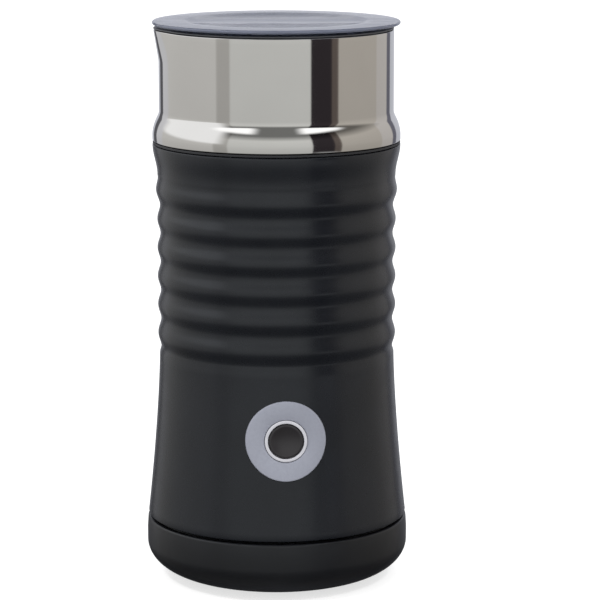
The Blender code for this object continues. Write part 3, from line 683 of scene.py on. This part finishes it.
def make_vessel():
    outer = VESSEL_R + VESSEL_WALL
    bend = 7.0
    centre = (VESSEL_R - bend, VESSEL_FLOOR_Z + bend)
    inner_bend = arc(centre, (bend, bend), -90.0, 0.0, 12)
    outer_bend = arc(centre, (bend + VESSEL_WALL, bend + VESSEL_WALL), 0.0, -90.0, 12)
    wall = [(VESSEL_R, z) for z in steps_between(SPOUT_START_Z, 195.5, 6)]
    lip = rounded([
        (VESSEL_R, 195.6), (VESSEL_R + 0.6, VESSEL_LIP_Z), (VESSEL_LIP_R, VESSEL_LIP_Z),
        (VESSEL_LIP_R, VESSEL_LIP_Z - VESSEL_LIP_THICK), (outer, VESSEL_LIP_Z - VESSEL_LIP_THICK),
        (outer, 193.5),
    ], 0.22, 4, closed=False)
    back = [(outer, z) for z in steps_between(193.0, SPOUT_START_Z, 4)]
    profile = [(0.0, VESSEL_FLOOR_Z)] + inner_bend + wall + lip + back + outer_bend
    profile.append((0.0, VESSEL_FLOOR_Z - VESSEL_WALL))
    stand_for(turned("fine_vessel", profile, FINE, spout_warp), "vessel")
    gasket = rounded(ring(42.8, SHOULDER_R - 0.1, HOUSING_Z[1] + GAP, COLLAR_Z[0] - GAP), 0.12, 3)
    stand_for(turned("fine_collar_gasket", gasket, FINE), "collar_gasket")
    foot = VESSEL_FLOOR_Z + GAP
    pin = [(0.0, PIN_TOP_Z)] + arc((PIN_R - 0.8, PIN_TOP_Z - 0.8), (0.8, 0.8), 90.0, 0.0, 6)
    pin += [(PIN_R, foot), (0.0, foot)]
    stand_for(turned("fine_whisk_pin", pin, SMALL), "whisk_pin")


# ---------------------------------------------------------------- push button

def loft_on_housing(name, section, steps):
    """Ring that follows the housing's skin. The section is (radius, height over the skin)."""
    mesh = bpy.data.meshes.new(name)
    shape = bmesh.new()
    columns = []
    for k in range(steps):
        angle = 2.0 * math.pi * k / steps
        column = []
        for radius, height in section:
            x = radius * math.cos(angle)
            z = BUTTON_Z + radius * math.sin(angle)
            y = -math.sqrt(housing_radius(z) ** 2 - x * x) - height
            column.append(shape.verts.new((x * MM, y * MM, z * MM)))
        columns.append(column)
    count = len(section)
    for k in range(steps):
        here, beside = columns[k], columns[(k + 1) % steps]
        for i in range(count):
            j = (i + 1) % count
            shape.faces.new([here[i], here[j], beside[j], beside[i]])
    bmesh.ops.recalc_face_normals(shape, faces=shape.faces)
    shape.to_mesh(mesh)
    shape.free()
    return smooth(make_object(name, mesh))


def make_button():
    inner, outer = BEZEL_R
    section = rounded([
        (inner, BEZEL_PROUD - 0.15), (inner + 0.35, BEZEL_PROUD), (outer - 0.3, BEZEL_PROUD),
        (outer, BEZEL_PROUD - 0.25), (outer, -2.1), (inner, -2.1),
    ], 0.25, 4)
    stand_for(loft_on_housing("fine_button_bezel", section, MEDIUM * 2), "button_bezel")

    near, far = LIGHT_RING_R
    pipe = rounded([(near - 0.1, 43.7), (near + 0.1, 44.0), (far, 44.0), (far + 0.17, 43.8),
                    (far + 0.17, 37.0), (near - 0.1, 37.0)], 0.2, 4)
    stand_for(face_front(turned("fine_light_ring", pipe, MEDIUM)), "light_ring")

    face = BUTTON_FACE
    profile = [(0.0, face - 1.2)]
    dish_r = BUTTON_R - 0.7
    for share in steps_between(0.0, 1.0, 12)[1:]:
        profile.append((dish_r * share, face - 1.2 * (1.0 - share ** 2)))
    profile += rounded([
        (dish_r + 0.05, face), (BUTTON_R, face - 0.1), (BUTTON_R, face - 2.7), (2.0, face - 2.7),
        (2.0, 38.4),
    ], 0.3, 4, closed=False)
    profile.append((0.0, 38.4))
    button = face_front(turned("fine_push_button", profile, MEDIUM))
    stand_for(button, "push_button", material=BUTTON_BLACK)

    turns, per_turn = 3, 32
    points = []
    for i in range(turns * per_turn + 1):
        share = i / (turns * per_turn)
        x, up = polar(SPRING_R, 360.0 * turns * share)
        out = SPRING_ENDS[0] + (SPRING_ENDS[1] - SPRING_ENDS[0]) * share
        points.append((x, -out, BUTTON_Z + up))
    spring = stand_for(wire("fine_button_spring", points, 0.25), "button_spring")
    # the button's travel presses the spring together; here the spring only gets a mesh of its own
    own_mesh(spring)


# ---------------------------------------------------------------- whisk

def make_whisk():
    low, high = WHISK_DISC_Z
    profile = [(0.0, HUB_TOP_Z)] + rounded([
        (HUB_R, HUB_TOP_Z), (HUB_R, high), (WHISK_DISC_R, high), (WHISK_DISC_R, low), (HUB_R, low),
        (HUB_R, 105.4), (HUB_BORE_R, 105.4), (HUB_BORE_R, 116.4),
    ], 0.9, 5, closed=False) + [(0.0, 116.4)]
    hub = turned("fine_whisk_hub", profile, MEDIUM)
    cutters = []
    for number, side in ((1, -1), (2, 1)):
        x = side * MAGNET_CIRCLE_R
        cutters.append(rod(f"cut_pocket_{number}", x, 0.0, MAGNET_R + 0.1, low + 0.7, 115.0))
        magnet = [(0.0, high)] + arc((MAGNET_R - 0.3, high - 0.3), (0.3, 0.3), 90.0, 0.0, 4)
        magnet += [(MAGNET_R, low + 1.0), (0.0, low + 1.0)]
        disc = turned(f"fine_whisk_magnet_{number}", magnet, SMALL)
        disc.location.x = x * MM
        stand_for(disc, f"whisk_magnet_{number}")
    for k in range(4):
        x, y = polar(MAGNET_CIRCLE_R, 45.0 + 90.0 * k)
        cutters.append(rod(f"cut_window_{k}", x, y, 3.4, 100.0, 115.0))
    stand_for(cut(hub, cutters), "whisk_hub")

    per_turn = 16
    count = COIL_TURNS * per_turn
    middle = (low + high) / 2.0
    points = []
    for i in range(count):
        around = 360.0 * i / count
        twist = 2.0 * math.pi * i / per_turn
        x, y = polar(COIL_RING_R + COIL_R * math.cos(twist), around)
        points.append((x, y, middle + COIL_R * math.sin(twist)))
    stand_for(wire("fine_whisk_spring", points, COIL_WIRE_R, True), "whisk_spring")

    bush = rounded(ring(BUSH_R[0], BUSH_R[1], VESSEL_FLOOR_Z + 0.6, 115.0), 0.15, 3)
    stand_for(turned("fine_whisk_bush", bush, SMALL), "whisk_bush")


# ---------------------------------------------------------------- lid

def make_lid():
    top, under = LID_TOP_Z, LID_UNDER_Z
    skirt_in, skirt_out = LID_SKIRT_R
    rim = arc((LID_R - LID_EDGE_R, top - LID_EDGE_R), (LID_EDGE_R, LID_EDGE_R), 90.0, -60.0, 14)
    profile = [(0.0, top - LID_DISH)]
    profile += rounded([(31.0, top - LID_DISH), (32.6, top), (34.0, top)], 0.7, 5, closed=False)
    profile += rim
    profile += rounded([
        (LID_R - 0.8, under), (skirt_out, under), (skirt_out, LID_SKIRT_Z),
        (skirt_in, LID_SKIRT_Z), (skirt_in, under - 0.4),
    ], 0.35, 4, closed=False)
    profile.append((0.0, under - 0.4))
    stand_for(turned("fine_lid", profile, FINE), "lid")
    seal = rounded([
        (VESSEL_R - GAP, 195.4), (VESSEL_R - GAP, 194.9), (VESSEL_R - 0.9, 194.4),
        (VESSEL_R - GAP, 193.7), (VESSEL_R - GAP, 193.0), (skirt_out + GAP, 193.0),
        (skirt_out + GAP, 195.4),
    ], 0.2, 3)
    stand_for(turned("fine_lid_seal", seal, FINE), "lid_seal")


# ---------------------------------------------------------------- kept model nodes

def dress_kept_nodes(replaced):
    for node, obj in frame["nodes"].items():
        if node in replaced:
            continue
        obj.data.materials.clear()
        obj.data.materials.append(MATERIALS[SLOT_OF[node]])


# ---------------------------------------------------------------- studio

def emission(name, build):
    material = bpy.data.materials.new(name)
    material.use_nodes = True
    tree = material.node_tree
    tree.nodes.clear()
    out = tree.nodes.new("ShaderNodeOutputMaterial")
    light = tree.nodes.new("ShaderNodeEmission")
    tree.links.new(light.outputs[0], out.inputs["Surface"])
    build(tree, light)
    return material


def make_floor():
    mesh = bpy.data.meshes.new("floor")
    shape = bmesh.new()
    bmesh.ops.create_circle(shape, cap_ends=True, segments=64, radius=12.0)
    shape.to_mesh(mesh)
    shape.free()
    floor = make_object("floor", mesh)
    floor.location.z = -0.0003
    paint = Paint("floor")
    tint = paint.spread(paint.noise(3.0), 0.0, 1.0)
    paint.colour(paint.blend(tint, (0.40, 0.40, 0.40), (0.42, 0.42, 0.42)))
    paint.set(Roughness=0.8, Specular_IOR_Level=0.1)
    paint.set(Emission_Color=(1.0, 1.0, 1.0, 1.0), Emission_Strength=0.68)
    mesh.materials.append(paint.material)
    floor.visible_glossy = False


STUDIO_R = 0.70
STUDIO_Z = 0.12
# Reflected bands: azimuth in degrees to the right of the camera, brightness and colour after it.
BANDS = (
    (-180.0, (0.52, 0.53, 0.58)),
    (-155.0, (0.10, 0.10, 0.11)),
    (-143.0, (0.58, 0.58, 0.60)),
    (-128.0, (0.57, 0.56, 0.54)),
    (-58.0, (0.42, 0.41, 0.39)),
    (-44.0, (0.59, 0.59, 0.57)),
    (33.0, (0.030, 0.025, 0.028)),
    (54.0, (0.11, 0.090, 0.080)),
    (61.0, (0.44, 0.41, 0.37)),
    (112.0, (0.50, 0.475, 0.455)),
    (134.0, (0.14, 0.14, 0.17)),
    (144.0, (0.52, 0.53, 0.58)),
)
# How bright each height is, elevation in degrees: dark table, bright walls, dark ceiling.
HEIGHTS = (
    (-90.0, 0.30),
    (-60.0, 0.14),
    (-44.0, 0.08),
    (-28.0, 0.30),
    (-18.0, 0.80),
    (-9.0, 1.00),
    (2.0, 1.15),
    (22.0, 1.30),
    (34.0, 0.36),
    (90.0, 0.36),
)
# Panels laid over the bands: azimuth range and elevation range in degrees, brightness.
# The last two stand behind the object, where the lid's top mirrors them.
PANELS = (
    ((-128.0, -52.0), (10.0, 44.0), 1.15),
    ((-68.0, -23.0), (38.0, 52.0), 1.55),
    ((26.0, 73.0), (38.0, 52.0), 1.55),
    ((36.0, 58.0), (-20.0, -10.5), 0.62),
    ((150.0, 178.6), (21.0, 40.0), 1.5),
    ((-178.6, -150.0), (21.0, 40.0), 1.5),
)


def make_studio_wall():
    """Ball seen only in reflections: soft boxes with dark gaps, a dark table and ceiling."""
    mesh = bpy.data.meshes.new("studio_wall")
    shape = bmesh.new()
    bmesh.ops.create_uvsphere(shape, u_segments=96, v_segments=64, radius=STUDIO_R)
    shape.to_mesh(mesh)
    shape.free()
    wall = make_object("studio_wall", mesh)
    wall.location.z = STUDIO_Z
    # local -Y points to the camera, and azimuth grows to its right
    wall.rotation_euler.z = math.radians(CAMERA_AZIMUTH)

    def build(tree, light):
        def compute(operation, *inputs):
            node = tree.nodes.new("ShaderNodeMath")
            node.operation = operation
            for socket, value in zip(node.inputs, inputs):
                if isinstance(value, float):
                    socket.default_value = value
                else:
                    tree.links.new(value, socket)
            return node.outputs[0]

        def fit(value, low, high, start=0.0, end=1.0, kind="LINEAR"):
            node = tree.nodes.new("ShaderNodeMapRange")
            node.interpolation_type = kind
            for label, number in (("From Min", low), ("From Max", high), ("To Min", start), ("To Max", end)):
                node.inputs[label].default_value = number
            tree.links.new(value, node.inputs["Value"])
            return node.outputs["Result"]

        def ramp(value, stops):
            node = tree.nodes.new("ShaderNodeValToRGB")
            elements = node.color_ramp.elements
            while len(elements) < len(stops):
                elements.new(0.5)
            for element, (spot, colour) in zip(elements, stops):
                element.position = spot
                element.color = (*colour, 1.0)
            tree.links.new(value, node.inputs["Fac"])
            return node.outputs["Color"]

        place = tree.nodes.new("ShaderNodeTexCoord").outputs["Object"]
        split = tree.nodes.new("ShaderNodeSeparateXYZ")
        tree.links.new(place, split.inputs[0])
        across, up = split.outputs["X"], split.outputs["Z"]
        along = compute("MULTIPLY", split.outputs["Y"], -1.0)
        azimuth = compute("ARCTAN2", across, along)
        elevation = compute("ARCSINE", compute("DIVIDE", up, STUDIO_R))

        stops = []
        for number, (angle, colour) in enumerate(BANDS):
            spot = (angle + 180.0) / 360.0
            if number:
                stops.append((spot - 0.002, BANDS[number - 1][1]))
            stops.append((spot + (0.002 if number else 0.0), colour))
        bands = ramp(fit(azimuth, -math.pi, math.pi), stops)
        stops = [((angle + 90.0) / 180.0, (value / 2.0,) * 3) for angle, value in HEIGHTS]
        heights = compute("MULTIPLY", ramp(fit(elevation, -math.pi / 2.0, math.pi / 2.0), stops), 2.0)

        scale = tree.nodes.new("ShaderNodeVectorMath")
        scale.operation = "SCALE"
        tree.links.new(bands, scale.inputs[0])
        tree.links.new(heights, scale.inputs["Scale"])
        result = scale.outputs[0]
        for (left, right), (low, high), power in PANELS:
            edge, side_edge = math.radians(3.0), math.radians(8.0)
            left, right, low, high = [math.radians(angle) for angle in (left, right, low, high)]
            mask = compute(
                "MULTIPLY",
                compute("MULTIPLY",
                        fit(azimuth, left - side_edge, left + side_edge, kind="SMOOTHSTEP"),
                        fit(azimuth, right - side_edge, right + side_edge, 1.0, 0.0, "SMOOTHSTEP")),
                compute("MULTIPLY",
                        fit(elevation, low - edge, low + edge, kind="SMOOTHSTEP"),
                        fit(elevation, high - edge, high + edge, 1.0, 0.0, "SMOOTHSTEP")))
            panel = tree.nodes.new("ShaderNodeMix")
            panel.data_type = "RGBA"
            tree.links.new(mask, panel.inputs["Factor"])
            tree.links.new(result, panel.inputs[6])
            panel.inputs[7].default_value = (power, power, power, 1.0)
            result = panel.outputs[2]
        tree.links.new(result, light.inputs["Color"])
        light.inputs["Strength"].default_value = 1.0

    mesh.materials.append(emission("studio_wall", build))
    wall.visible_camera = False
    wall.visible_diffuse = False
    wall.visible_transmission = False
    wall.visible_shadow = False


def make_lights():
    def area(name, place, target, size, power, colour=(1.0, 1.0, 1.0)):
        data = bpy.data.lights.new(name, "AREA")
        data.shape = "RECTANGLE"
        data.size, data.size_y = size
        data.energy = power
        data.color = colour
        obj = bpy.data.objects.new(name, data)
        bpy.context.scene.collection.objects.link(obj)
        obj.location = place
        aim = Vector(target) - Vector(place)
        obj.rotation_euler = aim.to_track_quat("-Z", "Y").to_euler()
        obj.visible_camera = False
        obj.visible_glossy = False
        return obj

    area("top_left", (-0.55, -0.35, 0.85), (0.0, 0.0, 0.12), (0.35, 0.12), 5.0)
    area("top_right", (0.45, -0.55, 0.85), (0.0, 0.0, 0.12), (0.30, 0.12), 4.0)
    world = bpy.data.worlds.new("studio")
    world.use_nodes = True
    bpy.context.scene.world = world
    background = world.node_tree.nodes["Background"]
    background.inputs["Color"].default_value = (1.0, 1.0, 1.0, 1.0)
    background.inputs["Strength"].default_value = 1.22


def make_camera():
    data = bpy.data.cameras.new("camera")
    data.lens = CAMERA_LENS
    data.sensor_width = 36.0
    data.clip_start = 0.05
    data.clip_end = 50.0
    camera = bpy.data.objects.new("camera", data)
    bpy.context.scene.collection.objects.link(camera)
    turn = math.radians(CAMERA_AZIMUTH)
    back = Vector((math.sin(turn), -math.cos(turn), 0.0))
    right = Vector((math.cos(turn), math.sin(turn), 0.0))
    camera.location = back * CAMERA_DISTANCE + right * CAMERA_SIDE
    camera.location.z = CAMERA_HEIGHT
    camera.rotation_euler = (math.radians(90.0 - CAMERA_PITCH), 0.0, turn)
    bpy.context.scene.camera = camera


# ---------------------------------------------------------------- build

make_camera()
make_base()
make_jug_connector()
make_bottom_cover()
make_housing()
make_collar()
make_vessel()
make_button()
make_whisk()
make_lid()
replaced_nodes = {
    name[len("fine_"):] for name in bpy.data.objects.keys() if name.startswith("fine_")
}
dress_kept_nodes(replaced_nodes)
make_floor()
make_studio_wall()
make_lights()
bpy.context.scene.view_settings.view_transform = "Standard"
